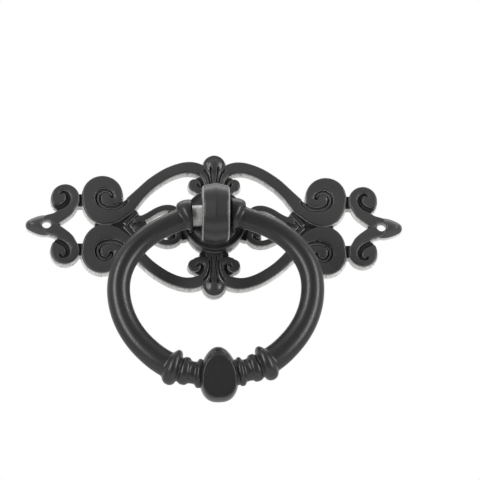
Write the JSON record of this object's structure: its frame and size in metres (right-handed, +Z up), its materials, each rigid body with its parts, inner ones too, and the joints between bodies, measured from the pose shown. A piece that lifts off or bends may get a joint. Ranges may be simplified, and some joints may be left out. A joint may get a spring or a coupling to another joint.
{
  "type": "door knocker",
  "caption": "Small ring knocker: an openwork scrolled backplate with an eye post, and a round-bar ring with a beaded striking knop that swings from it.",
  "frame": {"origin": "centre of the plate's back, on the axis of the eye post, in the plane of the door", "axes": "+X to the right along the plate's length, +Y into the door, +Z up; the knocker's front looks along -Y"},
  "size_m": [0.065, 0.0154, 0.0457],
  "materials": {
    "plate_black": "satin black, bare grey on the cast edges",
    "post_black": "satin black, rubbed bright on the chamfers",
    "ring_black": "satin black",
    "bare_steel": "bare, lightly tumbled"
  },
  "bodies": {
    "plate": {"backplate": "plate_black", "eye_post": "post_black", "rear_washer": "bare_steel"},
    "pin": {"pivot_pin": "bare_steel"},
    "ring": {"ring": "ring_black"}
  },
  "joints": [
    {"name": "side_play", "type": "slide", "parent": "plate", "child": "pin", "axis": [0.999, 0, 0.0454], "range_m": [0, 0.0014]},
    {"name": "ring_swing", "type": "hinge", "parent": "pin", "child": "ring", "pos_m": [0, -0.0102, -0.00035], "axis": [0.999, 0, 0.0454], "range_deg": [-190, 10]}
  ]
}
